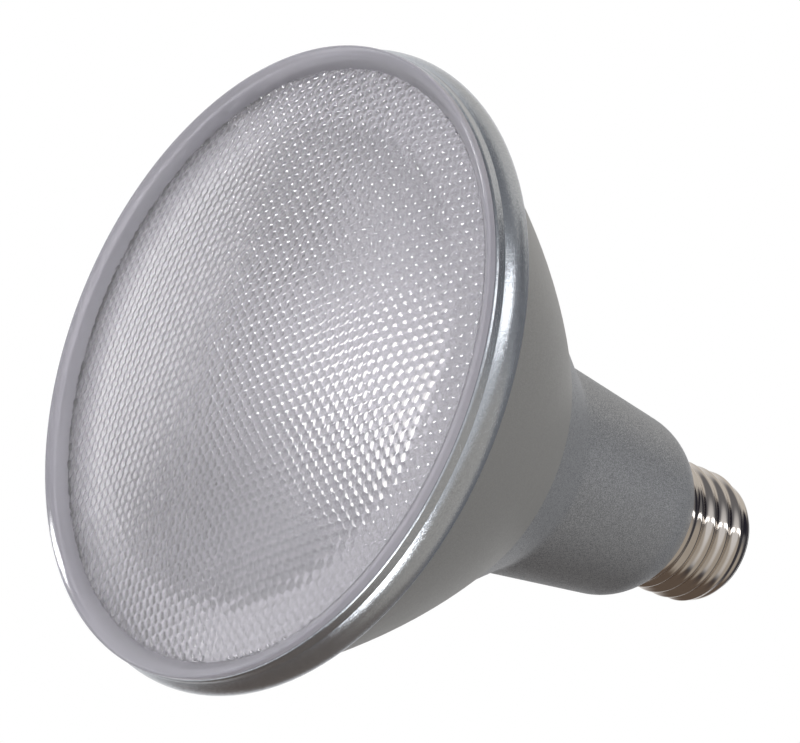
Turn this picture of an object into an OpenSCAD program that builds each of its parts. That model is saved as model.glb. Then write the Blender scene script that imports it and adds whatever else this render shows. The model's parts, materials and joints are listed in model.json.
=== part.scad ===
// Reflector flood lamp with a medium screw base, standing on its lens.
// The lamp's axis is Z: the lens looks down and the screw base points up.

/* [Lens] */
// How far the field of bumps ends inside the lens's edge within the ring
border_w = 1.95; // [1:0.05:2.5]
// Width of the clear slope that rises round the field
slope_w = 1.85; // [1:0.05:2.5]
// Height of that slope
slope_h = 2.3; // [1:0.05:3]
// How far the bead at the slope's end stands in front of the field's edge
bead_h = 2.9; // [1.5:0.05:4]
// How far the bead ends inside the ring's lip
bead_inset = 0.25; // [0.1:0.05:0.5]
// Corner radius of the bead
bead_round = 0.5; // [0.2:0.05:0.6]
// Radius of the lens's domed face
dome_r = 240; // [180:1:320]
// Thickness of the lens
lens_t = 2.0; // [1.5:0.1:3]
// Distance from one bump to the next
bump_pitch = 2.75; // [2.4:0.05:4]
// Height of a bump above the dome
bump_h = 0.35; // [0.2:0.05:0.6]
// Width of the rim behind the lens's border
rim_w = 1.5; // [1:0.1:2]
// Depth of the rim behind the lens
rim_h = 0.8; // [0.5:0.1:1.5]

/* [Front ring] */
// Largest diameter of the lamp, 38 eighths of an inch
ring_d = 120.65; // [119.9:0.05:122]
// How far the lip's outer side lies inside the ring's largest radius
lip_inset = 1.075; // [0.8:0.025:1.5]
// How far the ring's lip stands in front of the field's edge
lip_h = 1.35; // [0.8:0.05:2]
// Thickness of the lip
lip_t = 1.85; // [1.6:0.05:2.2]
// Corner radius of the lip
lip_round = 0.65; // [0.3:0.05:0.8]
// Radius of the ring's rounded side
ring_round = 4.7; // [4:0.1:6]
// How far the ring's back edge lies inside its largest radius
ring_tuck = 0.475; // [0.3:0.025:0.8]
// Thickness of the shelf that carries the reflector
shelf_t = 1.7; // [1.2:0.1:2.5]
// Length of the collar that centres the ring in the cone
collar_l = 3.8; // [2:0.1:6]
// Thickness of the collar
collar_t = 1.1; // [0.8:0.1:2]

/* [Cone housing] */
// Length of the cone, from the ring to the neck
cone_l = 41.4; // [38:0.1:50]
// How far the cone's front edge lies inside the ring's largest radius
cone_inset = 3.125; // [2.5:0.025:4]
// Radius of the cone at the neck
cone_back_r = 29.9; // [28.5:0.1:32]
// How far the cone bulges out of a straight line
cone_bulge = 1.85; // [1:0.05:3]
// Wall of the cone
cone_wall = 2.0; // [1.5:0.1:2.5]
// Radius of the hole in the cone's floor
cone_hole_r = 14; // [10:0.5:15]

/* [Neck housing] */
// Length of the flare between cone and neck
flare_l = 13.1; // [10:0.1:18]
// Radius where the flare meets the neck
neck_front_r = 21.5; // [20.5:0.1:24]
// Radius at the start of the shoulder
neck_back_r = 18.15; // [17.5:0.05:20]
// Length of the neck, from the flare to the shoulder
neck_l = 28.3; // [27:0.1:40]
// Length of the rounded shoulder
shoulder_l = 8.4; // [7:0.1:10]
// Radius of the neck's end face
neck_end_r = 13.95; // [13.6:0.05:15]
// How far the shoulder bulges out
shoulder_bulge = 0.8; // [0.5:0.05:1.2]
// How far the crease between flare and neck is blended on each side
crease_l = 1.5; // [0.5:0.1:3]
// Wall of the neck
neck_wall = 1.6; // [1.2:0.1:2]
// Room between the spigot inside the screw shell and the insulator
wire_room = 4.8; // [4:0.1:6]

/* [Screw base] */
// Outer diameter over the thread, medium screw base
thread_d = 26.3; // [26.0:0.05:26.6]
// Depth of the rolled thread
thread_depth = 0.85; // [0.6:0.05:1]
// Advance of the thread in one turn, seven turns to the inch
thread_pitch = 3.629; // [3.4:0.001:3.8]
// Angle at which the thread starts
thread_start = 0; // [0:5:355]
// Thickness of the shell's sheet
shell_t = 0.35; // [0.25:0.05:0.5]
// Length of the whole shell
shell_l = 18.8; // [17:0.1:24]
// Length of the plain skirt at the neck
skirt_l = 1.8; // [1.5:0.1:2.5]
// Length of the shell's turned-in end
curl_l = 2.4; // [1.5:0.1:3]
// Length of the insulator that shows beyond the shell
insulator_l = 4.2; // [3:0.1:6]
// Diameter of the centre contact
contact_d = 9.6; // [8:0.1:11]
// Height of the centre contact
contact_h = 1.6; // [1:0.1:2.5]

/* [Reflector and light source] */
// How far the bowl's mouth stays clear of the ring's collar
mouth_room = 6.15; // [5:0.05:8]
// Radius of the bowl's throat
throat_r = 10.5; // [9:0.1:12]
// Depth of the bowl, from mouth to throat
bowl_depth = 30.2; // [27:0.1:32]
// Wall of the reflector
bowl_wall = 1.2; // [0.8:0.1:1.5]
// Thickness of the reflector's flange
flange_t = 1.2; // [0.8:0.1:1.6]
// Radius of the board that carries the light source
board_r = 23.5; // [23:0.1:25]
// Thickness of that board
board_t = 1.6; // [1:0.1:2]
// Thickness of the thermal pad
pad_t = 0.3; // [0.2:0.05:0.6]
// Radius of the circle of light-emitting packages
led_ring_r = 6.6; // [6:0.1:7.4]
// Side of one package
led_side = 2.8; // [2:0.1:3]
// Height of one package
led_h = 0.7; // [0.5:0.1:1.2]
// Thickness of the heat spreader's sheet
spreader_t = 1.5; // [1:0.1:2]

/* [Driver] */
// Width of the driver board
driver_w = 29; // [26:0.1:29.4]
// Length of the driver board
driver_l = 39; // [36:0.1:40]
// Thickness of the driver board
driver_t = 1.6; // [1:0.1:2]
// How far the driver board's front face lies behind the axis
driver_back = 3.2; // [2.5:0.1:4.5]
// Diameter of a wire over its insulation
wire_d = 1.3; // [1:0.1:1.6]

/* [Hidden] */
$fn = 96;
// Overrun of every cut through the face it leaves
cut = 0.5;
// Clearance between pieces that slide together
slip = 0.1;
// Clearance round a piece that sits loosely
loose = 0.2;

// Radii of the ring, of the lens within it and of the cone behind it
ring_r = ring_d / 2;
lip_r = ring_r - lip_inset;
bore_r = lip_r - lip_t;
lens_r = bore_r - slip;
field_r = lens_r - border_w;
bead_r = lip_r - bead_inset;
cone_front_r = ring_r - cone_inset;

// Heights along the axis, from the tip of the middle bump
edge_z = bump_h + sag(field_r);
lip_z = edge_z - lip_h;
rim_z = edge_z + lens_t + rim_h;
shelf_z = rim_z + flange_t;
ring_back_z = shelf_z + shelf_t;
cone_back_z = ring_back_z + cone_l;
cone_floor_z = cone_back_z - cone_wall;
flare_z = cone_back_z + flare_l;
shoulder_z = flare_z + neck_l;
neck_end_z = shoulder_z + shoulder_l;
shell_end_z = neck_end_z + shell_l;
insulator_z = shell_end_z - 2 * curl_l;
spigot_end_z = insulator_z - wire_room;
insulator_end_z = shell_end_z + insulator_l;

// Places of the pieces behind the reflector
board_z = rim_z + bowl_depth;
pad_z = board_z + board_t;
spreader_z = pad_z + pad_t;
boss_z = spreader_z + spreader_t;
collar_r = cone_radius(ring_back_z + collar_l, cone_wall) - loose;
shelf_r = collar_r - collar_t;
mouth_r = shelf_r - bowl_wall - mouth_room;
// Fall of the square of the bowl's radius for each unit of its depth
bowl_fall = (mouth_r * mouth_r - throat_r * throat_r) / bowl_depth;

// Screws and their bosses
screw_circle_r = 20;
screw_r = 1.4;
screw_head_r = 2.5;
screw_head_h = 1.7;
neck_screw_l = 8;
slot_w = 0.7;
slot_depth = 0.8;
// Room between a board screw's tip and the cone's floor
tip_room = 2.1;
board_screw_l = cone_floor_z - board_z - tip_room;
boss_r = 3.2;
// Hole that the two output wires pass, and their distance apart
wire_gap = 2.2;
wire_hole_r = 2.6;
// Connector for the two output wires, on the light board beside the bowl
connector_h = 2.2;
connector_room = 0.5;
wire_circle_r = bowl_radius(connector_h) + bowl_wall + connector_room + connector_h;

// Driver board: its start behind the cone's floor and its hold in the rails
driver_gap = 6;
driver_z = cone_back_z + driver_gap;
driver_end_z = driver_z + driver_l;
rail_grip = 1.2;
rail_wall = 1.4;

// Drop of the domed face at radius r below its middle
function sag(r) = dome_r - sqrt(dome_r * dome_r - r * r);

// Points of an arc from p to q that bulges b to the left of its chord
function arc(p, q, b, n = 12) =
  let (d = q - p, l = norm(d), along = d / l, out = [-along[1], along[0]])
  let (r = (l * l / 4 + b * b) / (2 * b), half = asin(l / 2 / r), c = (p + q) / 2 - out * (r - b))
  [for (i = [0 : n]) let (t = (2 * i / n - 1) * half) c + out * r * cos(t) + along * r * sin(t)];

// Points of a circular arc about c from angle a to angle b
function turn(c, r, a, b, n = 12) =
  [for (i = [0 : n]) let (t = a + (b - a) * i / n) c + r * [cos(t), sin(t)]];

function reversed(list) = [for (i = [len(list) - 1 : -1 : 0]) list[i]];

// Points sorted by their angle about the axis
function by_angle(list) = len(list) < 2 ? list :
  let (pivot = list[floor(len(list) / 2)][0])
  concat(by_angle([for (e = list) if (e[0] < pivot) e]), [for (e = list) if (e[0] == pivot) e],
    by_angle([for (e = list) if (e[0] > pivot) e]));

// Solid tube of radius r along a smooth curve through the points of a route
module tube(route, r, sides = 6, steps = 3) {
  n = len(route);
  path = [for (i = [0 : n - 2]) for (k = [0 : steps - (i == n - 2 ? 0 : 1)])
    spline(route[max(i - 1, 0)], route[i], route[i + 1], route[min(i + 2, n - 1)], k / steps)];
  last = len(path) - 1;
  side = [1, 0.01, 0];
  rings = [for (i = [0 : last])
    let (dir = unit(path[min(i + 1, last)] - path[max(i - 1, 0)]))
    let (u = unit(cross(dir, side)), v = cross(dir, u))
    for (k = [0 : sides - 1]) path[i] + r * (cos(360 * k / sides) * u + sin(360 * k / sides) * v)];
  walls = [for (i = [0 : last - 1]) for (k = [0 : sides - 1])
    let (k2 = (k + 1) % sides, a = i * sides, b = a + sides)
    [a + k, b + k, b + k2, a + k2]];
  ends = [[for (k = [0 : sides - 1]) k], [for (k = [sides - 1 : -1 : 0]) last * sides + k]];
  polyhedron(rings, concat(walls, ends), convexity = 6);
}

function unit(v) = v / norm(v);

function spline(a, b, c, d, t) =
  b + (c - a) * t / 2 + (a - 2.5 * b + 2 * c - d / 2) * t * t + ((b - c) * 1.5 + (d - a) / 2) * t * t * t;

// One pan-head screw, its head's seat at the origin and its shank along +Z
module screw(r, head_r, head_h, l) {
  cylinder(r = r, h = l);
  difference() {
    rotate_extrude()
      polygon(concat([[0, 0], [head_r, 0]],
        arc([head_r, -head_h / 2], [head_r / 2, -head_h], head_h / 6, 4), [[0, -head_h]]));
    for (a = [0, 90])
      rotate(a)
        translate([-head_r * 0.6, -slot_w / 2, -head_h - cut])
          cube([head_r * 1.2, slot_w, slot_depth + cut]);
  }
}

module at_three(r, turn_by = 0) {
  for (a = [0 : 120 : 240])
    rotate(a + turn_by)
      translate([r, 0, 0])
        children();
}

// Field of bumps: a triangular lattice whose every third point is a raised tip.
// Points outside the field are drawn in to its edge, so the lattice ends in a circle.
step = bump_pitch / sqrt(3);
reach = ceil(field_r / step * 1.2);
row = 2 * reach + 1;
inner_limit = field_r - 0.4 * step;
function spot(i, j) = [(i + j / 2) * step, j * step * sqrt(3) / 2];
function inside(i, j) = norm(spot(i, j)) < inner_limit;
function index(i, j) = (i + reach) * row + j + reach;
function lattice_point(i, j) =
  let (p = spot(i, j), r = norm(p), tip = (i - j + 3 * row) % 3 == 0)
  r < inner_limit
    ? [p[0], p[1], bump_h + sag(r) - (tip ? bump_h : 0)]
    : [p[0] * field_r / r, p[1] * field_r / r, edge_z];

module lens() {
  sides = 72;
  span = [-reach : reach];
  lattice = [for (i = span) for (j = span) lattice_point(i, j)];
  cells = [for (i = [-reach : reach - 1]) for (j = [-reach : reach - 1])
    let (a = inside(i, j), b = inside(i + 1, j), c = inside(i, j + 1), d = inside(i + 1, j + 1))
    each [if (a || b || c) [index(i, j), index(i + 1, j), index(i, j + 1)],
      if (b || c || d) [index(i + 1, j), index(i + 1, j + 1), index(i, j + 1)]]];
  // Points of the field's edge, in order round the circle
  near = [[1, 0], [0, 1], [-1, 1], [-1, 0], [0, -1], [1, -1]];
  edge = by_angle([for (i = [1 - reach : reach - 1]) for (j = [1 - reach : reach - 1])
    if (!inside(i, j) && len([for (s = near) if (inside(i + s[0], j + s[1])) 1]) > 0)
      let (p = spot(i, j)) [(atan2(p[1], p[0]) + 360) % 360, index(i, j)]]);
  n = len(edge);
  // Rings of the slope, the bead in front of the ring's lip, the rim and the back
  back = bump_h + lens_t;
  rings = concat(
    [[field_r + slope_w, edge_z - slope_h]],
    turn([bead_r - bead_round, edge_z - bead_h + bead_round], bead_round, 270, 360, 2),
    [[bead_r, lip_z - slip], [lens_r, lip_z - slip], [lens_r, rim_z], [lens_r - rim_w, rim_z]],
    [for (r = [lens_r - rim_w, field_r * 0.7, field_r * 0.35]) [r, back + sag(r)]]);
  ring_points = [for (q = rings) for (k = [0 : sides - 1])
    [q[0] * cos(360 * k / sides), q[0] * sin(360 * k / sides), q[1]]];
  base = row * row;
  at = function(q, k) base + q * sides + k % sides;
  sector = function(k) round(edge[k % n][0] * sides / 360);
  border = [for (k = [0 : n - 1])
    let (a = edge[k][1], b = edge[(k + 1) % n][1])
    let (s = sector(k), e = sector(k + 1) + (k == n - 1 ? sides : 0))
    each concat([[b, a, at(0, s)]], [for (m = [s : 1 : e - 1]) [at(0, m + 1), b, at(0, m)]])];
  bands = [for (q = [0 : len(rings) - 2]) for (k = [0 : sides - 1])
    each [[at(q, k + 1), at(q, k), at(q + 1, k)], [at(q + 1, k + 1), at(q, k + 1), at(q + 1, k)]]];
  middle = base + len(ring_points);
  cap = [for (k = [0 : sides - 1]) [at(len(rings) - 1, k + 1), at(len(rings) - 1, k), middle]];
  color([0.80, 0.80, 0.88, 0.6])
    polyhedron(concat(lattice, ring_points, [[0, 0, back]]),
      concat(cells, border, bands, cap), convexity = 4);
}

module front_ring() {
  groove_turn = acos(1 - (ring_r - lip_r) / ring_round);
  back_turn = acos(1 - ring_tuck / ring_round);
  middle = [ring_r - ring_round, ring_back_z - ring_round * sin(back_turn)];
  color([0.62, 0.64, 0.66])
    rotate_extrude()
      polygon(concat(
        [[bore_r, shelf_z]],
        turn([bore_r + lip_round, lip_z + lip_round], lip_round, 180, 270, 6),
        turn([lip_r - lip_round, lip_z + lip_round], lip_round, 270, 360, 6),
        turn(middle, ring_round, -groove_turn, back_turn, 16),
        [[collar_r, ring_back_z], [collar_r, ring_back_z + collar_l],
         [shelf_r, ring_back_z + collar_l], [shelf_r, shelf_z]]));
}

// Outer line of the cone, moved inwards by a wall
function cone_line(wall) =
  let (p = [cone_front_r, ring_back_z], q = [cone_back_r, cone_back_z])
  let (d = unit(q - p), inward = [-d[1], d[0]])
  arc(p + inward * wall, q + inward * wall, -cone_bulge, 20);

// Radius of that line at height z
function cone_radius(z, wall) = lookup(z, [for (p = cone_line(wall)) [p[1], p[0]]]);

module cone_housing() {
  outer = cone_line(0);
  inner = [for (p = cone_line(cone_wall)) if (p[1] > ring_back_z + cut && p[1] < cone_floor_z - cut) p];
  color([0.58, 0.57, 0.55])
    difference() {
      union() {
        rotate_extrude()
          polygon(concat(outer,
            [[cone_hole_r, cone_back_z], [cone_hole_r, cone_floor_z],
             [cone_radius(cone_floor_z, cone_wall), cone_floor_z]],
            reversed(inner), [[cone_front_r - cone_wall, ring_back_z]]));
        at_three(screw_circle_r)
          translate([0, 0, boss_z])
            cylinder(r = boss_r, h = cone_floor_z + cone_wall / 2 - boss_z);
      }
      at_three(screw_circle_r)
        translate([0, 0, boss_z - cut])
          cylinder(r = screw_r + slip, h = cone_floor_z - boss_z + cut);
      at_three(screw_circle_r, 60)
        translate([0, 0, cone_floor_z - cut])
          cylinder(r = screw_r + loose, h = cone_wall + 2 * cut);
    }
}

module neck_housing() {
  spigot_r = thread_d / 2 - thread_depth - shell_t - loose;
  bore = spigot_r - neck_wall;
  floor_z = neck_end_z - neck_wall;
  front = [cone_back_r, cone_back_z];
  crease = [neck_front_r, flare_z];
  top = [neck_back_r, shoulder_z];
  outer = concat([front],
    arc(crease - unit(crease - front) * crease_l, crease + unit(top - crease) * crease_l, crease_l / 9, 4),
    arc(top, [neck_end_r, neck_end_z], -shoulder_bulge, 10));
  room = [[0, cone_back_z - cut], [cone_back_r - cone_wall, cone_back_z - cut],
    [cone_back_r - cone_wall, cone_back_z + neck_wall],
    [neck_front_r - neck_wall, flare_z + neck_wall], [neck_back_r - neck_wall, shoulder_z],
    [neck_end_r - neck_wall, floor_z], [0, floor_z]];
  color([0.52, 0.54, 0.56])
    difference() {
      union() {
        difference() {
          rotate_extrude()
            polygon(concat(outer, [[0, neck_end_z], [0, cone_back_z]]));
          difference() {
            rotate_extrude()
              polygon(room);
            // Rails that hold the driver board by its long edges
            for (s = [-1, 1])
              translate([s > 0 ? driver_w / 2 - rail_grip : -neck_front_r - driver_w / 2 + rail_grip,
                  -driver_back - driver_t - rail_wall, flare_z])
                cube([neck_front_r, driver_t + 2 * rail_wall, driver_end_z + rail_wall - flare_z]);
            at_three(screw_circle_r, 60)
              translate([0, 0, cone_back_z])
                cylinder(r = boss_r, h = flare_l);
          }
        }
        translate([0, 0, floor_z])
          cylinder(r = spigot_r, h = spigot_end_z - floor_z);
      }
      // Groove for the driver board
      translate([-driver_w / 2 - slip, -driver_back - driver_t - slip, flare_z - cut])
        cube([driver_w + 2 * slip, driver_t + 2 * slip, driver_end_z + slip - flare_z + cut]);
      translate([0, 0, floor_z - cut])
        cylinder(r = bore, h = spigot_end_z - floor_z + 2 * cut);
      at_three(screw_circle_r, 60)
        translate([0, 0, cone_back_z - cut])
          cylinder(r = screw_r + slip, h = neck_screw_l + slip + cut);
    }
}

// Bowl whose square of the radius falls evenly from mouth to throat
function bowl_radius(height) = sqrt(throat_r * throat_r + bowl_fall * height);
function bowl_line(wall) =
  [for (i = [0 : 24]) let (t = i / 24) let (r = mouth_r + (throat_r - mouth_r) * t)
    [r + wall, board_z - (r * r - throat_r * throat_r) / bowl_fall]];

module reflector() {
  color([0.80, 0.81, 0.82])
    rotate_extrude()
      polygon(concat(
        [[bore_r - loose, rim_z]],
        bowl_line(0),
        reversed([for (p = bowl_line(bowl_wall)) if (p[1] > shelf_z) p]),
        [[mouth_r + bowl_wall, shelf_z], [bore_r - loose, shelf_z]]));
}

module heat_spreader() {
  top_z = ring_back_z + collar_l + cone_wall;
  gap = cone_wall + slip;
  outer = [for (p = cone_line(gap)) if (p[1] > top_z && p[1] < boss_z - cut) p];
  inner = [for (p = cone_line(gap + spreader_t)) if (p[1] > top_z && p[1] < spreader_z - cut) p];
  color([0.78, 0.78, 0.77])
    difference() {
      rotate_extrude()
        polygon(concat(
          [[cone_radius(top_z, gap), top_z]], outer,
          [[cone_radius(boss_z, gap), boss_z], [0, boss_z], [0, spreader_z],
           [cone_radius(spreader_z, gap + spreader_t), spreader_z]],
          reversed(inner), [[cone_radius(top_z, gap + spreader_t), top_z]]));
      board_holes(spreader_z, spreader_t);
    }
}

// Three screw holes and the wire hole through a layer that starts at z
module board_holes(z, t) {
  at_three(screw_circle_r)
    translate([0, 0, z - cut])
      cylinder(r = screw_r + loose, h = t + 2 * cut);
  rotate(60)
    translate([wire_circle_r, 0, z - cut])
      cylinder(r = wire_hole_r, h = t + 2 * cut);
}

module thermal_pad() {
  color([0.75, 0.78, 0.84])
    difference() {
      translate([0, 0, pad_z])
        cylinder(r = board_r, h = pad_t);
      board_holes(pad_z, pad_t);
    }
}

module light_board() {
  color([0.94, 0.94, 0.92])
    difference() {
      translate([0, 0, board_z])
        cylinder(r = board_r, h = board_t);
      board_holes(board_z, board_t);
    }
}

module light_packages() {
  color([0.95, 0.85, 0.35]) {
    for (a = [0 : 45 : 315])
      rotate(a)
        translate([led_ring_r - led_side / 2, -led_side / 2, board_z - led_h])
          cube([led_side, led_side, led_h]);
    for (x = [-1, 1])
      for (y = [-1, 1])
        translate([(x - 1) / 2 * led_side + x * slip, (y - 1) / 2 * led_side + y * slip, board_z - led_h])
          cube([led_side, led_side, led_h]);
  }
}

module board_connector() {
  h = connector_h;
  w = 6.4 * wire_d;
  color("ivory")
    rotate(60)
      translate([wire_circle_r, 0, board_z - h])
        difference() {
          translate([-h, -w / 2, 0])
            cube([2 * h, w, h]);
          for (s = [-1, 1])
            translate([0, s * wire_gap / 2, h / 3])
              cylinder(r = wire_d / 2 + slip, h = h);
        }
}

module board_screws() {
  color("silver")
    at_three(screw_circle_r)
      translate([0, 0, board_z])
        screw(screw_r, screw_head_r, screw_head_h, board_screw_l);
}

module neck_screws() {
  color("silver")
    at_three(screw_circle_r, 60)
      translate([0, 0, cone_floor_z])
        screw(screw_r, screw_head_r, screw_head_h, neck_screw_l);
}

module driver_board() {
  color([0.16, 0.42, 0.24])
    translate([-driver_w / 2, -driver_back - driver_t, driver_z])
      cube([driver_w, driver_t, driver_l]);
}

// Puts a piece on the front of the driver board, its own Z pointing away from the board
module on_board(x, along) {
  translate([x, -driver_back, driver_z + along])
    rotate([-90, 0, 0])
      children();
}

// Transformer of two E halves round a wound bobbin
core_w = 16;
core_d = 13;
core_h = 12;
leg_w = 2.6;
post_w = 4.4;
transformer_along = 15.4;

module transformer_core() {
  color([0.22, 0.22, 0.23])
    on_board(0, transformer_along)
      difference() {
        translate([-core_w / 2, -leg_w, 0])
          cube([core_w, 2 * leg_w, core_h]);
        for (s = [-1, 1])
          translate([s * (post_w / 2 + (core_w / 2 - leg_w - post_w / 2) / 2)
              - (core_w / 2 - leg_w - post_w / 2) / 2, -leg_w - cut, leg_w])
            cube([core_w / 2 - leg_w - post_w / 2, 2 * leg_w + 2 * cut, core_h - 2 * leg_w]);
      }
}

module transformer_winding() {
  outer_w = core_w - 2 * leg_w - 2 * slip;
  color([0.93, 0.78, 0.30])
    on_board(0, transformer_along)
      translate([0, 0, leg_w + slip])
        difference() {
          translate([-outer_w / 2, -core_d / 2, 0])
            cube([outer_w, core_d, core_h - 2 * leg_w - 2 * slip]);
          translate([-post_w / 2 - slip, -leg_w - slip, -cut])
            cube([post_w + 2 * slip, 2 * leg_w + 2 * slip, core_h]);
        }
}

// Aluminium can with a grooved foot and a scored top
module can(r, h) {
  groove = r / 10;
  rotate_extrude()
    polygon([[0, 0], [r, 0], [r, h * 0.12], [r - groove, h * 0.16], [r, h * 0.20],
      [r, h - groove], [r - groove, h], [r * 0.8, h], [r * 0.8, h - groove / 2], [0, h - groove / 2]]);
}

module input_capacitor() {
  r = 5;
  h = 12.5;
  end_gap = 3;
  color([0.12, 0.14, 0.22])
    on_board(-r, driver_l - end_gap - r)
      can(r, h);
}

module output_capacitor() {
  r = 4;
  h = 11.5;
  to_side = 6.5;
  front_gap = 0.5;
  color([0.12, 0.14, 0.22])
    on_board(-to_side, front_gap + r)
      can(r, h);
}

module film_capacitor() {
  w = 5.2;
  l = 11;
  h = 9;
  end_gap = 2.9;
  color([0.86, 0.66, 0.16])
    on_board(w, driver_l - end_gap - l / 2)
      translate([-w / 2, -l / 2, 0])
        cube([w, l, h]);
}

module filter_choke() {
  r = 4.2;
  h = 9;
  to_side = 6.5;
  front_gap = 0.4;
  color([0.36, 0.24, 0.16])
    on_board(to_side, front_gap + r)
      rotate_extrude()
        polygon([[0, 0], [r, 0], [r, h * 0.15], [r * 0.86, h * 0.15], [r * 0.86, h * 0.85],
          [r, h * 0.85], [r, h], [0, h]]);
}

// Puts a piece on the back of the driver board
module behind_board(x, along) {
  translate([x, -driver_back - driver_t, driver_z + along])
    rotate([90, 0, 0])
      children();
}

// Flat package with two rows of legs
module flat_package(w, l, h, legs) {
  leg = l / legs / 3;
  translate([-w / 2, -l / 2, leg / 2])
    cube([w, l, h]);
  for (s = [-1, 1])
    for (i = [0 : legs - 1])
      translate([s * (w / 2 + leg / 2) - leg, l * ((i + 0.5) / legs - 0.5) - leg / 2, 0])
        cube([2 * leg, leg, h / 2]);
}

module rectifier() {
  w = 4.6;
  l = 6.4;
  h = 2.4;
  to_side = 5;
  end_gap = 4.8;
  color([0.15, 0.15, 0.16])
    behind_board(-to_side, driver_l - end_gap - l / 2)
      flat_package(w, l, h, 2);
}

module driver_chip() {
  w = 3.9;
  l = 4.9;
  h = 1.5;
  to_side = 3;
  along = 18;
  color([0.15, 0.15, 0.16])
    behind_board(to_side, along)
      flat_package(w, l, h, 4);
}

module fuse_resistor() {
  r = 1.3;
  l = 7;
  to_side = 6;
  along = 23.4;
  color([0.30, 0.52, 0.40])
    on_board(to_side, along)
      translate([-l / 2, 0, r])
        rotate([0, 90, 0])
          rotate_extrude($fn = 32)
            polygon([[0, 0], [r, 0], [r, l * 0.2], [r * 0.85, l * 0.26], [r * 0.85, l * 0.74],
              [r, l * 0.8], [r, l], [0, l]]);
}

// Where a wire is soldered, with its middle this far in front of the driver board
solder_y = wire_d * 0.55 - driver_back;
// How far from the board's edge the wires are soldered, and how far they stand out when they bend
solder_gap = 1.5;
bend = 2;

// Output wires, from the driver board up to the connector beside the reflector
module output_wire(s) {
  pad_x = 2.2;
  floor_x = 1.2;
  floor_y = 4.5;
  plug_depth = 1;
  x = wire_circle_r * cos(60) + s * wire_gap / 2 * sin(60);
  y = wire_circle_r * sin(60) - s * wire_gap / 2 * cos(60);
  tube([[s * pad_x, solder_y, driver_z + solder_gap], [s * pad_x, 0, driver_z - bend],
    [s * floor_x + bend, floor_y, cone_floor_z - solder_gap], [x, y, (boss_z + cone_floor_z) / 2],
    [x, y, boss_z], [x, y, board_z - plug_depth]], wire_d / 2);
}

module positive_wire() {
  color("red")
    output_wire(-1);
}

module negative_wire() {
  color([0.1, 0.1, 0.1])
    output_wire(1);
}

// Distance of the two mains wires from the middle where they leave the board
mains_x = 5;

module live_wire() {
  color([0.1, 0.1, 0.1])
    tube([[mains_x, solder_y, driver_end_z - solder_gap], [mains_x - wire_d, 0, neck_end_z],
      [wire_d, wire_d, spigot_end_z], [0, 0, insulator_z - 2 * wire_d], [0, 0, insulator_z],
      [0, 0, insulator_end_z]], wire_d / 2);
}

module neutral_wire() {
  root_r = thread_d / 2 - thread_depth - shell_t;
  end_z = insulator_z - wire_d;
  color("white")
    tube([[-mains_x, solder_y, driver_end_z - solder_gap], [-mains_x, 0, neck_end_z],
      [-mains_x, 0, spigot_end_z], [-root_r + 2 * wire_d, 0, end_z - wire_d],
      [-root_r + wire_d, 0, end_z]], wire_d / 2);
}

// Radius of the rolled thread at height z above the skirt and angle a
function thread_radius(z, a) =
  let (l = shell_l - skirt_l - curl_l, fade = thread_pitch / 2)
  let (in = min(1, z / fade), out = min(1, (l - z) / fade))
  let (wave = (1 + cos(360 * z / thread_pitch - a - thread_start)) / 2)
  thread_d / 2 - thread_depth * (1 - (wave * in + 1 - in) * out);

module screw_shell() {
  sides = 32;
  l = shell_l - skirt_l - curl_l;
  steps = ceil(l / thread_pitch * 6);
  z0 = neck_end_z + skirt_l;
  // The thread starts and ends a little inside the plain stretches that it grows out of
  tuck = shell_t / 7;
  points = [for (wall = [0, shell_t]) for (i = [0 : steps]) for (k = [0 : sides - 1])
    let (a = 360 * k / sides, z = l * i / steps, r = thread_radius(z, a) - tuck - wall)
    [r * cos(a), r * sin(a), z0 + z]];
  inner = (steps + 1) * sides;
  at = function(i, k) i * sides + k % sides;
  walls = [for (i = [0 : steps - 1]) for (k = [0 : sides - 1]) each [
    [at(i, k), at(i + 1, k), at(i + 1, k + 1)], [at(i, k), at(i + 1, k + 1), at(i, k + 1)],
    [inner + at(i, k), inner + at(i + 1, k + 1), inner + at(i + 1, k)],
    [inner + at(i, k), inner + at(i, k + 1), inner + at(i + 1, k + 1)]]];
  ends = [for (k = [0 : sides - 1]) each [
    [at(0, k), at(0, k + 1), inner + at(0, k + 1), inner + at(0, k)],
    [at(steps, k), inner + at(steps, k), inner + at(steps, k + 1), at(steps, k + 1)]]];
  out_r = thread_d / 2;
  root_r = out_r - thread_depth;
  end_r = root_r - curl_l * 0.7;
  join = shell_t;
  color([0.80, 0.78, 0.74]) {
    translate([0, 0, neck_end_z])
      difference() {
        cylinder(r = out_r, h = skirt_l + join);
        translate([0, 0, -cut])
          cylinder(r = out_r - shell_t, h = skirt_l + join + 2 * cut);
      }
    polyhedron(points, concat(walls, ends), convexity = 10);
    rotate_extrude()
      polygon(concat(
        [[root_r, shell_end_z - curl_l - join]],
        arc([root_r, shell_end_z - curl_l], [end_r, shell_end_z], -curl_l / 5, 6),
        reversed(arc([root_r - shell_t, shell_end_z - curl_l], [end_r, shell_end_z - shell_t],
          -curl_l / 5, 6)),
        [[root_r - shell_t, shell_end_z - curl_l - join]]));
  }
}

module base_insulator() {
  plug_r = thread_d / 2 - thread_depth - curl_l * 0.7 - loose;
  color([0.09, 0.08, 0.08])
    difference() {
      rotate_extrude()
        polygon(concat(
          [[0, insulator_z], [plug_r, insulator_z], [plug_r, shell_end_z]],
          arc([plug_r + 2 * shell_t, shell_end_z], [contact_d / 2 + loose, insulator_end_z], -insulator_l / 12, 6),
          [[0, insulator_end_z]]));
      translate([0, 0, insulator_z - cut])
        cylinder(r = wire_d / 2 + slip, h = insulator_end_z - insulator_z + 2 * cut);
    }
}

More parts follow.
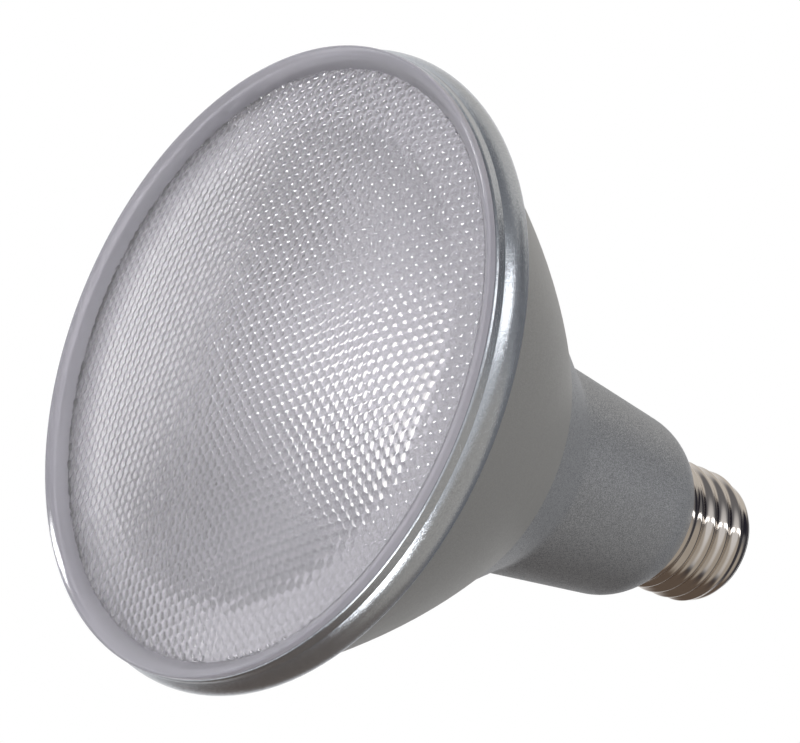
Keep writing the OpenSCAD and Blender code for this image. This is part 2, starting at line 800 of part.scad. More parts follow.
module centre_contact() {
  r = contact_d / 2;
  color([0.80, 0.76, 0.66])
    rotate_extrude()
      polygon(concat([[0, insulator_end_z], [r, insulator_end_z]],
        arc([r, insulator_end_z + contact_h / 3], [r * 0.7, insulator_end_z + contact_h], -contact_h / 7, 6),
        [[0, insulator_end_z + contact_h]]));
}

lens();
front_ring();
cone_housing();
neck_housing();
reflector();
heat_spreader();
thermal_pad();
light_board();
light_packages();
board_connector();
board_screws();
neck_screws();
driver_board();
transformer_core();
transformer_winding();
input_capacitor();
output_capacitor();
film_capacitor();
filter_choke();
rectifier();
driver_chip();
fuse_resistor();
positive_wire();
negative_wire();
live_wire();
neutral_wire();
screw_shell();
base_insulator();
centre_contact();
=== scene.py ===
import json
import math

import bmesh
import bpy
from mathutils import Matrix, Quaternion, Vector


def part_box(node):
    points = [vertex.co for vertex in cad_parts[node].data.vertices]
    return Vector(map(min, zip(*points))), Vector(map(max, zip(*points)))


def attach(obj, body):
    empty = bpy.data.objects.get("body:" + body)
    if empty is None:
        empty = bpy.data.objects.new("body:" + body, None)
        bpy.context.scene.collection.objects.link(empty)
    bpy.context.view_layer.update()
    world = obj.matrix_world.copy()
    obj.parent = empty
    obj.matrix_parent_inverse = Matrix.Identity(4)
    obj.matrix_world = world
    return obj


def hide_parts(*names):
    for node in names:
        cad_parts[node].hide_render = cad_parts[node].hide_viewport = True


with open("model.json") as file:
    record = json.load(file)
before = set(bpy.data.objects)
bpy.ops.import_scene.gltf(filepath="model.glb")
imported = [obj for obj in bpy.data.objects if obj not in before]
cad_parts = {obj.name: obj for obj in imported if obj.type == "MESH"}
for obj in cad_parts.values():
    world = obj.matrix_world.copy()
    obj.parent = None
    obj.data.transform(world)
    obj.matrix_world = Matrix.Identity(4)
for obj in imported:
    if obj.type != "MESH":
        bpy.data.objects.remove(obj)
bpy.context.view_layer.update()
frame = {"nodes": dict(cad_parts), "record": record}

# Looks of a reflector spotlight bulb that stands on its lens, with its screw base up.
# Sizes are in metres, angles in degrees, and Z is the lamp's axis.
MM = 0.001

# Camera: seen from below the floor, with the lamp's axis lying across the picture
AIM = Vector((-0.32, 7.49, 35.47)) * MM
CAMERA_AZIMUTH = -87.57
CAMERA_ELEVATION = -38.35
CAMERA_ROLL = 112.84
CAMERA_DISTANCE = 747.6 * MM
SENSOR_W = 36
LENS_MM = 184.5

# Lens: a domed field of bumps
DOME_R = 240 * MM
BUMP_H = 0.35 * MM
BUMP_PITCH = 2.05 * MM
# Its border: from the field's edge to the rim, the slope, and the bead in front of the ring's lip
BORDER_W = 1.95 * MM
SLOPE_W = 1.85 * MM
SLOPE_H = 2.3 * MM
BEAD_H = 2.9 * MM
BEAD_INSET = 0.25 * MM
BEAD_ROUND = 0.5 * MM
# Its rim and back, and the ring's lip that the rim fits inside
LIP_T = 1.85 * MM
RIM_W = 1.5 * MM
LENS_T = 2 * MM
SLIP = 0.1 * MM

# Screw shell: a plain skirt, the rolled thread and the turned-in end
THREAD_PITCH = 3.629 * MM
THREAD_DEPTH = 0.85 * MM
SHELL_T = 0.35 * MM
SKIRT_L = 1.8 * MM
CURL_L = 2.4 * MM
# How far the end turns in, and how far its curve bulges, as shares of its length
CURL_IN_SHARE = 0.7
CURL_BULGE_SHARE = 0.2
# Share of the pitch over which the thread starts at the skirt and fades into the end
FADE_SHARE = 0.5

# The lattice under the bumps: steps from a bump's middle to its corners, half the lattice's width
# in field radii, and how many steps outside and inside the field's edge its points are drawn to it
LATTICE_STEPS = 3
LATTICE_REACH = 1.62
DRAWN_IN_STEPS = 0.6
DRAWN_OUT_STEPS = 0.4

# How finely round shapes are divided
LENS_SIDES = 240
LENS_BACK_STEPS = 12
BEAD_STEPS = 6
# Share of the slope at which its first ring of points lies, which keeps the triangles there small
FIRST_RING_SHARE = 0.08
SHELL_SIDES = 128
THREAD_ROWS = 81
CURL_STEPS = 10
# Edges that turn by more than this stay sharp
LENS_SHARP_ANGLE = 28
SHELL_SHARP_ANGLE = 50
# Points that lie closer together than this become one
LENS_WELD = 1e-7
THREAD_WELD = 1e-6
SHELL_WELD = 2e-6

# Clear plastics: darker and lighter tint, how clear they are, and roughness
CLEAR = {
    "clear_lens": ((0.93, 0.915, 0.95), (0.955, 0.94, 0.97), 0.84, (0.08, 0.12)),
    "clear_border": ((0.68, 0.66, 0.72), (0.74, 0.72, 0.78), 0.52, (0.08, 0.14)),
}
PLASTIC_IOR = 1.49
TINT_SIZE = 30 * MM
HAZE_SIZE = 2 * MM

# Metallic paints: darker and lighter flakes, how metallic, the flakes' size in millimetres and their
# tilt, roughness and clear coat
PAINTS = {
    "silver_ring_paint": ((0.44, 0.47, 0.51), (0.62, 0.65, 0.69), 0.82, 0.09, 0.17, (0.18, 0.24), 0.3),
    "satin_cone_paint": ((0.235, 0.231, 0.222), (0.28, 0.275, 0.265), 0.4, 0.12, 0.10, (0.42, 0.48), 0.0),
    "grey_neck_paint": ((0.17, 0.175, 0.185), (0.37, 0.375, 0.385), 0.5, 0.14, 0.16, (0.40, 0.46), 0.0),
}
COAT_ROUGHNESS = 0.12
PAINT_PATCH_SIZE = 4 * MM

# Bare and plated metals: darker and lighter tone, roughness, and grain and its depth in millimetres
BRIGHT = {
    "nickel": ((0.70, 0.65, 0.60), (0.76, 0.71, 0.66), (0.07, 0.12), 1.5, 0.005),
    "bright_reflector": ((0.77, 0.77, 0.79), (0.82, 0.82, 0.84), (0.22, 0.28), 6, 0.02),
    "drawn_aluminium": ((0.64, 0.64, 0.63), (0.76, 0.76, 0.75), (0.35, 0.5), 1, 0.02),
    "zinc_screw": ((0.55, 0.55, 0.56), (0.68, 0.68, 0.69), (0.25, 0.4), 0.6, 0.01),
    "tinned_brass": ((0.66, 0.62, 0.52), (0.76, 0.72, 0.63), (0.25, 0.4), 0.8, 0.02),
}
GRAINS_PER_PATCH = 6

# Pieces that are moulded, printed, wound or sleeved: colour, roughness, and grain and its depth in
# millimetres. Their tone varies between two shares of the colour.
MOULDED = {
    "thermal_pad_silicone": ((0.62, 0.66, 0.74), (0.75, 0.85), 0.5, 0.02),
    "white_board": ((0.90, 0.90, 0.88), (0.3, 0.45), 1.5, 0.01),
    "phosphor": ((0.90, 0.88, 0.78), (0.5, 0.6), 0.2, 0.01),
    "connector_plastic": ((0.88, 0.86, 0.80), (0.4, 0.5), 0.4, 0.01),
    "green_board": ((0.10, 0.30, 0.15), (0.25, 0.4), 0.7, 0.02),
    "ferrite": ((0.08, 0.08, 0.09), (0.6, 0.75), 0.3, 0.02),
    "winding_tape": ((0.80, 0.62, 0.15), (0.2, 0.3), 2.0, 0.04),
    "capacitor_sleeve": ((0.05, 0.06, 0.12), (0.15, 0.25), 1.0, 0.02),
    "capacitor_box": ((0.70, 0.48, 0.06), (0.35, 0.5), 0.4, 0.02),
    "chip_plastic": ((0.04, 0.04, 0.05), (0.55, 0.7), 0.15, 0.01),
    "resistor_coat": ((0.16, 0.34, 0.24), (0.4, 0.55), 0.3, 0.02),
    "red_insulation": ((0.60, 0.04, 0.04), (0.35, 0.45), 0.5, 0.01),
    "black_insulation": ((0.03, 0.03, 0.03), (0.35, 0.45), 0.5, 0.01),
    "white_insulation": ((0.80, 0.80, 0.80), (0.35, 0.45), 0.5, 0.01),
    "black_insulator": ((0.02, 0.02, 0.02), (0.1, 0.2), 1.0, 0.01),
}
DARK_SHARE = 0.88
LIGHT_SHARE = 1.06

# Floor: its paint, and how much paler than that it shows to the camera
FLOOR_SIZE = 3.0
FLOOR_COLOUR = (0.86, 0.86, 0.86, 1)
FLOOR_GLOW = 0.62

# The even light, and what polished and clear surfaces see of the room round the camera
WHITE = (1, 1, 1, 1)
WORLD_COLOUR = (0.96, 0.98, 1, 1)
WORLD_LIGHT = 0.34
ROOM = (0.17, 0.17, 0.18)
# Panels in that room, each over the ones before: azimuth and elevation, the half angle of its full
# part, the half angle at which it ends, and its colour
PANELS = {
    "backdrop": (92, 5, 50, 80, (0.86, 0.86, 0.87)),
    "front": (-95, -45, 28, 62, (0.72, 0.72, 0.73)),
    "below": (40, -62, 24, 50, (1.35, 1.35, 1.35)),
    "doorway": (-10, -20, 16, 34, (0.04, 0.04, 0.05)),
    "shade": (128, -47, 12, 26, (0.22, 0.22, 0.25)),
    "table": (0, 20, 30, 60, (0.13, 0.10, 0.08)),
    "side": (165, 35, 18, 42, (0.62, 0.59, 0.55)),
    "warm_wall": (-68, 18, 30, 52, (0.42, 0.385, 0.34)),
    "ceiling": (-150, 84, 18, 36, (0.05, 0.05, 0.06)),
    "black_flag": (-150, 43, 12, 22, (0.02, 0.02, 0.03)),
}

# Lamps: azimuth and elevation, width and height, power, the pieces that each lights, and the kinds
# of ray that see it
LAMPS = {
    "key": (-120, 40, (0.8, 0.8), 15, ("front_ring", "cone_housing", "neck_housing"), ("diffuse",)),
    "fill": (-88, -38, (0.8, 0.8), 5, ("lens_with_bumps",), ("diffuse",)),
    "through_lens": (0, -88, (0.5, 0.5), 26, ("light_board", "light_packages"), ("diffuse",)),
    "glint": (141, -50, (0.22, 0.22), 5, ("lens_with_bumps",), ("diffuse", "glossy")),
    "left_box": (-132, -15, (0.4, 0.8), 2.6, ("front_ring",), ("glossy",)),
    "strip": (-120, 12, (0.14, 1.5), 1.7, ("rolled_shell",), ("glossy",)),
    "right_box": (-38, -30, (0.5, 0.6), 4.5, ("front_ring",), ("glossy",)),
}
# The only pieces that shade a lamp, where it has a row here: the clear lens lets that lamp through
BLOCKERS = {"through_lens": ("heat_spreader",)}
LAMP_DISTANCE = 1.2


class Wire:
    """A number or vector inside a node tree, with which sums can be written."""

    def __init__(self, tree, socket):
        self.tree = tree
        self.socket = socket

    def math(self, operation, *others):
        inputs = dict(enumerate((self,) + others))
        return put(self.tree, "ShaderNodeMath", inputs, operation=operation)[0]

    def __add__(self, other):
        return self.math("ADD", other)

    def __sub__(self, other):
        return self.math("SUBTRACT", other)

    def __mul__(self, other):
        return self.math("MULTIPLY", other)

    def __truediv__(self, other):
        return self.math("DIVIDE", other)

    def __lt__(self, other):
        return self.math("LESS_THAN", other)

    def __gt__(self, other):
        return self.math("GREATER_THAN", other)


def put(tree, kind, inputs=None, **settings):
    """Adds a node, sets and links its inputs, and returns its outputs as wires."""
    made = tree.nodes.new(kind)
    for name, value in settings.items():
        setattr(made, name, value)
    for key, value in (inputs or {}).items():
        if isinstance(value, Wire):
            tree.links.new(value.socket, made.inputs[key])
        else:
            made.inputs[key].default_value = value
    return [Wire(tree, s) for s in made.outputs if s.enabled]


def read(tree, kind, output):
    """Adds a node that only tells something, and returns the output of that name."""
    return Wire(tree, tree.nodes.new(kind).outputs[output])


def vector_math(tree, operation, *vectors, **scale):
    inputs = {**dict(enumerate(vectors)), **scale}
    return put(tree, "ShaderNodeVectorMath", inputs, operation=operation)[0]


def direction(azimuth, elevation):
    """Unit vector towards a viewer. Azimuth 0 looks along +Y, and elevation is above the floor."""
    a, e = math.radians(azimuth), math.radians(elevation)
    return Vector((math.sin(a) * math.cos(e), -math.cos(a) * math.cos(e), math.sin(e)))


def sag(r):
    """Drop of the domed lens at radius r below its middle."""
    return DOME_R - math.sqrt(DOME_R * DOME_R - r * r)


def arc(p, q, bulge, count):
    """Points of an arc from p to q that bulges to the left of its chord."""
    p, q = Vector(p), Vector(q)
    chord = (q - p).length
    along = (q - p) / chord
    out = Vector((-along.y, along.x))
    r = (chord * chord / 4 + bulge * bulge) / (2 * bulge)
    half = math.asin(chord / 2 / r)
    centre = (p + q) / 2 - out * (r - bulge)
    turns = [(2 * i / count - 1) * half for i in range(count + 1)]
    return [tuple(centre + out * r * math.cos(t) + along * r * math.sin(t)) for t in turns]


def turn(centre, r, start, end, count):
    """Points of a circular arc between two angles."""
    turns = [math.radians(start + (end - start) * i / count) for i in range(count + 1)]
    return [(centre[0] + r * math.cos(t), centre[1] + r * math.sin(t)) for t in turns]


# Pieces

def new_object(name, data):
    obj = bpy.data.objects.new(name, data)
    bpy.context.scene.collection.objects.link(obj)
    return obj


def keep(obj, node):
    """Fastens a finished piece to the root body and hides the CAD node that it stands for."""
    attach(obj, "root")
    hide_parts(node)
    return obj


def lathe(bm, outline, sides):
    """Turns an outline of (radius, height) points round Z and returns its rings of vertices."""
    rings = []
    for r, z in outline:
        if r == 0:
            rings.append([bm.verts.new((0, 0, z))])
            continue
        turns = [2 * math.pi * k / sides for k in range(sides)]
        rings.append([bm.verts.new((r * math.cos(t), r * math.sin(t), z)) for t in turns])
    for a, b in zip(rings, rings[1:]):
        for k in range(sides):
            corners = [a[k % len(a)], a[(k + 1) % len(a)], b[(k + 1) % len(b)], b[k % len(b)]]
            bm.faces.new(list(dict.fromkeys(corners)))
    return rings


def stitch(bm, inner, outer):
    """Joins two rings of vertices round Z with triangles, in the order of their angles."""
    rings = []
    for ring in (inner, outer):
        ring = sorted(ring, key=lambda v: math.atan2(v.co.y, v.co.x))
        angles = [math.atan2(v.co.y, v.co.x) for v in ring]
        rings.append((ring + ring[:1], angles + [angles[0] + 2 * math.pi]))
    (a, a_angles), (b, b_angles) = rings
    i = j = 0
    while i < len(a) - 1 or j < len(b) - 1:
        if j == len(b) - 1 or (i < len(a) - 1 and a_angles[i + 1] < b_angles[j + 1]):
            bm.faces.new((a[i], b[j], a[i + 1]))
            i += 1
        else:
            bm.faces.new((a[i], b[j], b[j + 1]))
            j += 1


def settle(bm, mesh, sharp_angle, *materials):
    """Writes a shape into a mesh with its faces outwards and its sharp edges kept."""
    bmesh.ops.recalc_face_normals(bm, faces=bm.faces)
    mesh.materials.clear()
    for material in materials:
        mesh.materials.append(material)
    bm.to_mesh(mesh)
    bm.free()
    mesh.shade_smooth()
    mesh.set_sharp_from_angle(angle=math.radians(sharp_angle))


def node_tree(name, sizes):
    """An empty tree for a Geometry Nodes modifier, with a named input for each size."""
    tree = bpy.data.node_groups.new(name, "GeometryNodeTree")
    for size, value in sizes.items():
        kind = "NodeSocketInt" if isinstance(value, int) else "NodeSocketFloat"
        tree.interface.new_socket(name=size, in_out="INPUT", socket_type=kind)
    tree.interface.new_socket(name="Finish", in_out="INPUT", socket_type="NodeSocketMaterial")
    tree.interface.new_socket(name="Geometry", in_out="OUTPUT", socket_type="NodeSocketGeometry")
    start = tree.nodes.new("NodeGroupInput")
    return tree, {s.name: Wire(tree, s) for s in start.outputs if s.name}


def moved(tree, shape, position, **chosen):
    """Moves a shape's points, or the chosen ones, to places worked out in the tree."""
    return put(tree, "GeometryNodeSetPosition", {"Geometry": shape, "Position": position, **chosen})[0]


def end_tree(tree, shape, finish):
    """Ends a tree in Realize Instances and Set Material."""
    shape = put(tree, "GeometryNodeRealizeInstances", {"Geometry": shape})[0]
    shape = put(tree, "GeometryNodeSetMaterial", {"Geometry": shape, "Material": finish})[0]
    end = tree.nodes.new("NodeGroupOutput")
    tree.links.new(shape.socket, end.inputs[0])


def grow(name, tree, sizes, finish):
    """Runs a tree with its sizes and returns the result as a plain mesh."""
    host = new_object(name, bpy.data.meshes.new(name + "_seed"))
    modifier = host.modifiers.new(name, "NODES")
    modifier.node_group = tree
    for item in tree.interface.items_tree:
        if item.in_out == "INPUT":
            modifier[item.identifier] = finish if item.name == "Finish" else sizes[item.name]
    bpy.context.view_layer.update()
    evaluated = host.evaluated_get(bpy.context.evaluated_depsgraph_get())
    mesh = bpy.data.meshes.new_from_object(evaluated)
    host.modifiers.remove(modifier)
    bpy.data.objects.remove(host)
    return mesh


def round_lattice(tree, place, field_r, step):
    """A flat triangular lattice cut to the field's circle, with its outermost points on the circle."""
    x, y = put(tree, "ShaderNodeSeparateXYZ", {0: place})[:2]
    count = (field_r * LATTICE_REACH / step).math("CEIL") * 2 + 1
    width = (count - 1) * step
    grid = put(tree, "GeometryNodeMeshGrid",
               {"Size X": width, "Size Y": width, "Vertices X": count, "Vertices Y": count})[0]
    slanted = put(tree, "ShaderNodeCombineXYZ", {"X": x + y * 0.5, "Y": y * (math.sqrt(3) / 2)})[0]
    grid = put(tree, "GeometryNodeTriangulate", {0: moved(tree, grid, slanted)})[0]

    r = vector_math(tree, "LENGTH", place)
    far = r > field_r + step * DRAWN_IN_STEPS
    grid = put(tree, "GeometryNodeDeleteGeometry", {"Geometry": grid, "Selection": far}, domain="POINT")[0]
    near_edge = r > field_r - step * DRAWN_OUT_STEPS
    return moved(tree, grid, vector_math(tree, "SCALE", place, Scale=field_r / r), Selection=near_edge)


def bump_field(finish, field_r):
    """The lens's front: a fine lattice on the dome, raised into six-sided bumps."""
    sizes = {"Pitch": BUMP_PITCH, "Height": BUMP_H, "Field radius": field_r, "Dome radius": DOME_R}
    tree, given = node_tree("bump_field", sizes)
    corner = given["Pitch"] / math.sqrt(3)
    place = read(tree, "GeometryNodeInputPosition", "Position")
    grid = round_lattice(tree, place, given["Field radius"], corner / LATTICE_STEPS)

    # Distance to the nearest bump's middle, over two interleaved rectangular lattices
    cell = [given["Pitch"] * math.sqrt(3), given["Pitch"]]
    x, y = put(tree, "ShaderNodeSeparateXYZ", {0: place})[:2]
    distances = []
    for shift in (0, 0.5):
        dx, dy = [(axis - size * shift).math("WRAP", size * 0.5, size * -0.5)
                  for axis, size in zip((x, y), cell)]
        distances.append((dx * dx + dy * dy).math("SQRT"))
    share = distances[0].math("MINIMUM", distances[1]) / corner

    r = vector_math(tree, "LENGTH", place)
    crown = (share * share * -1 + 1) * (r < given["Field radius"])
    dome = given["Dome radius"]
    drop = dome - (dome * dome - r * r).math("SQRT")
    z = drop + given["Height"] * (crown * -1 + 1)
    raised = put(tree, "ShaderNodeCombineXYZ", {"X": x, "Y": y, "Z": z})[0]
    end_tree(tree, moved(tree, grid, raised), given["Finish"])
    return grow("bump_field", tree, sizes, finish)


def lens(finish, border_finish):
    """The lens in one piece: field of bumps, slope, bead in front of the ring, rim and back."""
    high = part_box("lens")[1]
    bead_r = high.x
    rim_z = high.z
    lip_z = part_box("front_ring")[0].z
    lens_r = bead_r + BEAD_INSET - LIP_T - SLIP
    field_r = lens_r - BORDER_W
    inner_r = lens_r - RIM_W
    edge_z = BUMP_H + sag(field_r)
    back_z = BUMP_H + LENS_T

    slope = [(field_r + SLOPE_W * share, edge_z - SLOPE_H * share) for share in (FIRST_RING_SHARE, 1)]
    bead_middle = (bead_r - BEAD_ROUND, edge_z - BEAD_H + BEAD_ROUND)
    crest = turn(bead_middle, BEAD_ROUND, 270, 360, BEAD_STEPS)
    rim = [(bead_r, lip_z - SLIP), (lens_r, lip_z - SLIP), (lens_r, rim_z), (inner_r, rim_z)]
    back_radii = [inner_r * (1 - i / LENS_BACK_STEPS) for i in range(LENS_BACK_STEPS + 1)]
    back = [(r, back_z + sag(r)) for r in back_radii]

    mesh = bump_field(finish, field_r)
    bm = bmesh.new()
    bm.from_mesh(mesh)
    field_edge = [e for e in bm.edges if e.is_boundary]
    border = lathe(bm, slope + crest + rim, LENS_SIDES)
    stitch(bm, {v for e in field_edge for v in e.verts}, border[0])
    border_faces = {f for ring in border for v in ring for f in v.link_faces}
    for face in bm.faces:
        face.material_index = int(face in border_faces)
    lathe(bm, rim[-1:] + back, LENS_SIDES)
    bmesh.ops.remove_doubles(bm, verts=bm.verts, dist=LENS_WELD)
    settle(bm, mesh, LENS_SHARP_ANGLE, finish, border_finish)
    return keep(new_object("lens_with_bumps", mesh), "lens")


def rolled_thread(finish, out_r, length):
    """The shell's stretch with the thread: a helical wave rolled into a tube."""
    sizes = {"Radius": out_r, "Depth": THREAD_DEPTH, "Pitch": THREAD_PITCH, "Length": length,
             "Sides": SHELL_SIDES, "Rows": THREAD_ROWS}
    tree, given = node_tree("rolled_thread", sizes)
    grid = put(tree, "GeometryNodeMeshGrid", {"Size X": 1.0, "Size Y": 1.0,
               "Vertices X": given["Sides"] + 1, "Vertices Y": given["Rows"]})[0]
    place = read(tree, "GeometryNodeInputPosition", "Position")
    x, y = put(tree, "ShaderNodeSeparateXYZ", {0: place})[:2]
    angle = x * (2 * math.pi)
    z = (y + 0.5) * given["Length"]
    fade = given["Pitch"] * FADE_SHARE
    rise = (z / fade).math("MINIMUM", 1)
    fall = ((given["Length"] - z) / fade).math("MINIMUM", 1)
    wave = ((z / given["Pitch"] * (2 * math.pi) - angle).math("COSINE") + 1) * 0.5
    height = (wave * rise + (rise * -1 + 1)) * fall
    r = given["Radius"] - given["Depth"] * (height * -1 + 1)
    rolled = put(tree, "ShaderNodeCombineXYZ",
                 {"X": angle.math("COSINE") * r, "Y": angle.math("SINE") * r, "Z": z})[0]
    grid = moved(tree, grid, rolled)
    grid = put(tree, "GeometryNodeMergeByDistance", {"Geometry": grid, "Distance": THREAD_WELD})[0]
    end_tree(tree, grid, given["Finish"])
    return grow("rolled_thread", tree, sizes, finish)


def rolled_shell(finish):
    """The screw shell: skirt, helical rolled thread and turned-in end, one wall thick."""
    low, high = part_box("screw_shell")
    out_r = high.x
    thread_z = low.z + SKIRT_L
    curl_z = high.z - CURL_L
    root_r = out_r - THREAD_DEPTH
    end_r = root_r - CURL_L * CURL_IN_SHARE

    mesh = rolled_thread(finish, out_r, curl_z - thread_z)
    bm = bmesh.new()
    bm.from_mesh(mesh)
    bmesh.ops.translate(bm, verts=bm.verts, vec=(0, 0, thread_z))
    lathe(bm, [(out_r, low.z), (out_r, thread_z)], SHELL_SIDES)
    curl = arc((root_r, curl_z), (end_r, high.z), -CURL_L * CURL_BULGE_SHARE, CURL_STEPS)
    lathe(bm, curl, SHELL_SIDES)
    bmesh.ops.remove_doubles(bm, verts=bm.verts, dist=SHELL_WELD)
    settle(bm, mesh, SHELL_SHARP_ANGLE, finish)
    shell = new_object("rolled_shell", mesh)
    wall = shell.modifiers.new("wall", "SOLIDIFY")
    wall.thickness = SHELL_T
    wall.offset = -1
    return keep(shell, "screw_shell")


# Finishes

def blank_material(name):
    """An empty material, its tree, and the place in the object's own coordinates."""
    material = bpy.data.materials.new(name)
    material.use_nodes = True
    tree = material.node_tree
    tree.nodes.clear()
    return material, tree, read(tree, "ShaderNodeTexCoord", "Object")


def surface(tree, sockets):
    """Ends a material in one main shader with the given sockets."""
    shader = put(tree, "ShaderNodeBsdfPrincipled", sockets)[0]
    put(tree, "ShaderNodeOutputMaterial", {"Surface": shader})


def noise(tree, where, size, detail=2.0, rough=0.5):
    """Noise whose features are about as large as the given size."""
    return put(tree, "ShaderNodeTexNoise", {"Vector": where, "Scale": 1 / size, "Detail": detail,
               "Roughness": rough})[0]


def blend(tree, share, dark, light):
    """Mixes two colours, each given as numbers or as a wire."""
    made = tree.nodes.new("ShaderNodeMix")
    made.data_type = "RGBA"
    tree.links.new(share.socket, made.inputs[0])
    for socket, colour in ((made.inputs[6], dark), (made.inputs[7], light)):
        if isinstance(colour, Wire):
            tree.links.new(colour.socket, socket)
        else:
            socket.default_value = (*colour, 1)
    return Wire(tree, made.outputs[2])


def spread(tree, share, low, high):
    return put(tree, "ShaderNodeMapRange", {"Value": share, "To Min": low, "To Max": high})[0]


def bump(tree, height, depth, strength):
    return put(tree, "ShaderNodeBump", {"Height": height, "Distance": depth, "Strength": strength})[0]


def clear_plastic(name, dark, light, clearness, roughness):
    """Clear plastic with a little haze: the less clear, the milkier."""
    material, tree, where = blank_material(name)
    surface(tree, {"Base Color": blend(tree, noise(tree, where, TINT_SIZE), dark, light),
                   "Transmission Weight": clearness, "IOR": PLASTIC_IOR,
                   "Roughness": spread(tree, noise(tree, where, HAZE_SIZE), *roughness)})
    return material


def flake_paint(name, dark, light, metallic, flake, tilt, roughness, coat):
    """Metallic paint: tiny flakes that each lie at their own angle under a clear coat."""
    material, tree, where = blank_material(name)
    flakes = put(tree, "ShaderNodeTexVoronoi", {"Vector": where, "Scale": 1 / (flake * MM)})[1]
    tone = put(tree, "ShaderNodeSeparateColor", {0: flakes})[0]
    lean = vector_math(tree, "SUBTRACT", flakes, (0.5, 0.5, 0.5))
    lean = vector_math(tree, "SCALE", lean, Scale=tilt)
    facing = vector_math(tree, "ADD", read(tree, "ShaderNodeNewGeometry", "Normal"), lean)
    surface(tree, {"Base Color": blend(tree, tone, dark, light), "Metallic": metallic,
                   "Normal": vector_math(tree, "NORMALIZE", facing),
                   "Roughness": spread(tree, noise(tree, where, PAINT_PATCH_SIZE), *roughness),
                   "Coat Weight": coat, "Coat Roughness": COAT_ROUGHNESS})
    return material


def bright_metal(name, dark, light, roughness, grain, depth):
    """Polished or plated metal with a faint grain and patches that are a little duller."""
    material, tree, where = blank_material(name)
    grains = noise(tree, where, grain * MM, detail=3.0)
    patches = noise(tree, where, grain * MM * GRAINS_PER_PATCH)
    surface(tree, {"Base Color": blend(tree, grains, dark, light), "Metallic": 1.0,
                   "Roughness": spread(tree, patches, *roughness),
                   "Normal": bump(tree, grains, depth * MM, strength=0.4)})
    return material


def moulded(name, colour, roughness, grain, depth):
    """A plain surface whose tone, roughness and height follow one fine grain."""
    material, tree, where = blank_material(name)
    grains = noise(tree, where, grain * MM, detail=4.0, rough=0.6)
    dark, light = [tuple(c * share for c in colour) for share in (DARK_SHARE, LIGHT_SHARE)]
    surface(tree, {"Base Color": blend(tree, grains, dark, light),
                   "Roughness": spread(tree, grains, *roughness),
                   "Normal": bump(tree, grains, depth * MM, strength=0.5)})
    return material


def finishes():
    """Every finish by its slot's name."""
    made = {}
    for recipe, rows in ((clear_plastic, CLEAR), (flake_paint, PAINTS), (bright_metal, BRIGHT),
                         (moulded, MOULDED)):
        for name, row in rows.items():
            made[name] = recipe(name, *row)
    return made


def clear_frame_materials():
    """Drops the plain materials that come with the frame, so that their names are free."""
    for plain in list(bpy.data.materials):
        bpy.data.materials.remove(plain)


def dress_nodes(made):
    """Gives each CAD node the finish of its slot in the record."""
    slots = {part["node"]: part["material_slot"] for part in frame["record"]["subparts"]}
    for name, obj in frame["nodes"].items():
        obj.data.materials.clear()
        obj.data.materials.append(made[slots[name]])


# Stage

def panelled_room(tree):
    """Colour of the room in each direction: its plain colour with the panels over it."""
    towards = read(tree, "ShaderNodeTexCoord", "Generated")
    colour = ROOM
    for azimuth, elevation, full, end, panel in PANELS.values():
        facing = vector_math(tree, "DOT_PRODUCT", towards, direction(azimuth, elevation))
        share = put(tree, "ShaderNodeMapRange", {
            "Value": facing, "From Min": math.cos(math.radians(end)),
            "From Max": math.cos(math.radians(full))}, interpolation_type="SMOOTHSTEP")[0]
        colour = blend(tree, share, colour, panel)
    return colour


def studio_world():
    """White to the camera. Polished and clear pieces see the pale backdrop behind the lamp and
    the dimmer room round the camera with its panels. Everything else gets an even pale light."""
    world = bpy.data.worlds.new("studio")
    world.use_nodes = True
    tree = world.node_tree
    tree.nodes.clear()
    seen = read(tree, "ShaderNodeLightPath", "Is Camera Ray")
    mirrored = read(tree, "ShaderNodeLightPath", "Is Glossy Ray")
    mirrored = mirrored.math("MAXIMUM", read(tree, "ShaderNodeLightPath", "Is Transmission Ray"))
    light = put(tree, "ShaderNodeBackground", {"Color": WORLD_COLOUR, "Strength": WORLD_LIGHT})[0]
    room = put(tree, "ShaderNodeBackground", {"Color": panelled_room(tree), "Strength": 1.0})[0]
    white = put(tree, "ShaderNodeBackground", {"Color": WHITE, "Strength": 1.0})[0]
    unseen = put(tree, "ShaderNodeMixShader", {0: mirrored, 1: light, 2: room})[0]
    both = put(tree, "ShaderNodeMixShader", {0: seen, 1: unseen, 2: white})[0]
    put(tree, "ShaderNodeOutputWorld", {"Surface": both})
    bpy.context.scene.world = world


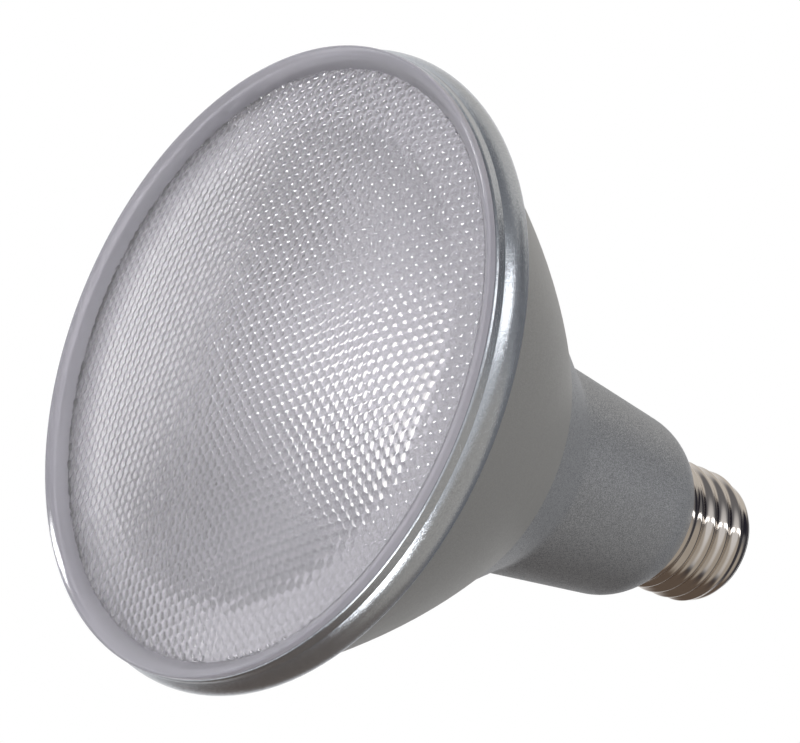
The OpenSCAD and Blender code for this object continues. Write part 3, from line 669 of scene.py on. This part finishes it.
def floor():
    """Pale floor that holds the lamp's shadow. Only the camera sees it, and only from above."""
    mesh = bpy.data.meshes.new("floor")
    half = FLOOR_SIZE / 2
    mesh.from_pydata([(-half, -half, 0), (half, -half, 0), (half, half, 0), (-half, half, 0)], [],
                     [(0, 1, 2, 3)])
    material, tree = blank_material("pale_floor")[:2]
    paint = put(tree, "ShaderNodeBsdfDiffuse", {"Color": FLOOR_COLOUR})[0]
    glow = put(tree, "ShaderNodeEmission", {"Color": WHITE, "Strength": FLOOR_GLOW})[0]
    paint = put(tree, "ShaderNodeAddShader", {0: paint, 1: glow})[0]
    clear = put(tree, "ShaderNodeBsdfTransparent")[0]
    seen = read(tree, "ShaderNodeLightPath", "Is Camera Ray")
    from_below = read(tree, "ShaderNodeNewGeometry", "Backfacing")
    shown = seen * (from_below * -1 + 1)
    both = put(tree, "ShaderNodeMixShader", {0: shown, 1: clear, 2: paint})[0]
    put(tree, "ShaderNodeOutputMaterial", {"Surface": both})
    mesh.materials.append(material)
    new_object("floor", mesh)


def stand_back(obj, azimuth, elevation, distance, roll=0):
    """Places a camera or lamp at a distance from the point aimed at, looking at it."""
    back = direction(azimuth, elevation)
    obj.location = AIM + back * distance
    obj.rotation_mode = "QUATERNION"
    turned = Quaternion((0, 0, 1), math.radians(roll))
    obj.rotation_quaternion = (-back).to_track_quat("-Z", "Y") @ turned


def camera():
    data = bpy.data.cameras.new("camera")
    data.sensor_width = SENSOR_W
    data.lens = LENS_MM
    obj = new_object("camera", data)
    stand_back(obj, CAMERA_AZIMUTH, CAMERA_ELEVATION, CAMERA_DISTANCE, CAMERA_ROLL)
    bpy.context.scene.camera = obj


def collected(name, pieces):
    group = bpy.data.collections.new(name)
    for piece in pieces:
        group.objects.link(piece)
    return group


def soft_lights(pieces):
    """The lamps. Each lights a few pieces only, and only by the kinds of ray in its row."""
    for name, (azimuth, elevation, size, power, lit, kinds) in LAMPS.items():
        data = bpy.data.lights.new(name, "AREA")
        data.shape = "RECTANGLE"
        data.size, data.size_y = size
        data.energy = power
        obj = new_object(name, data)
        stand_back(obj, azimuth, elevation, LAMP_DISTANCE)
        for kind in ("diffuse", "glossy", "transmission"):
            setattr(obj, "visible_" + kind, kind in kinds)
        linking = obj.light_linking
        linking.receiver_collection = collected(name + "_lights", [pieces[n] for n in lit])
        if name in BLOCKERS:
            shading = [pieces[n] for n in BLOCKERS[name]]
            linking.blocker_collection = collected(name + "_blockers", shading)


bpy.context.scene.view_settings.view_transform = "Standard"
clear_frame_materials()
camera()
studio_world()
floor()

made = finishes()
dress_nodes(made)
pieces = dict(frame["nodes"])
pieces["lens_with_bumps"] = lens(made["clear_lens"], made["clear_border"])
pieces["rolled_shell"] = rolled_shell(made["nickel"])
soft_lights(pieces)
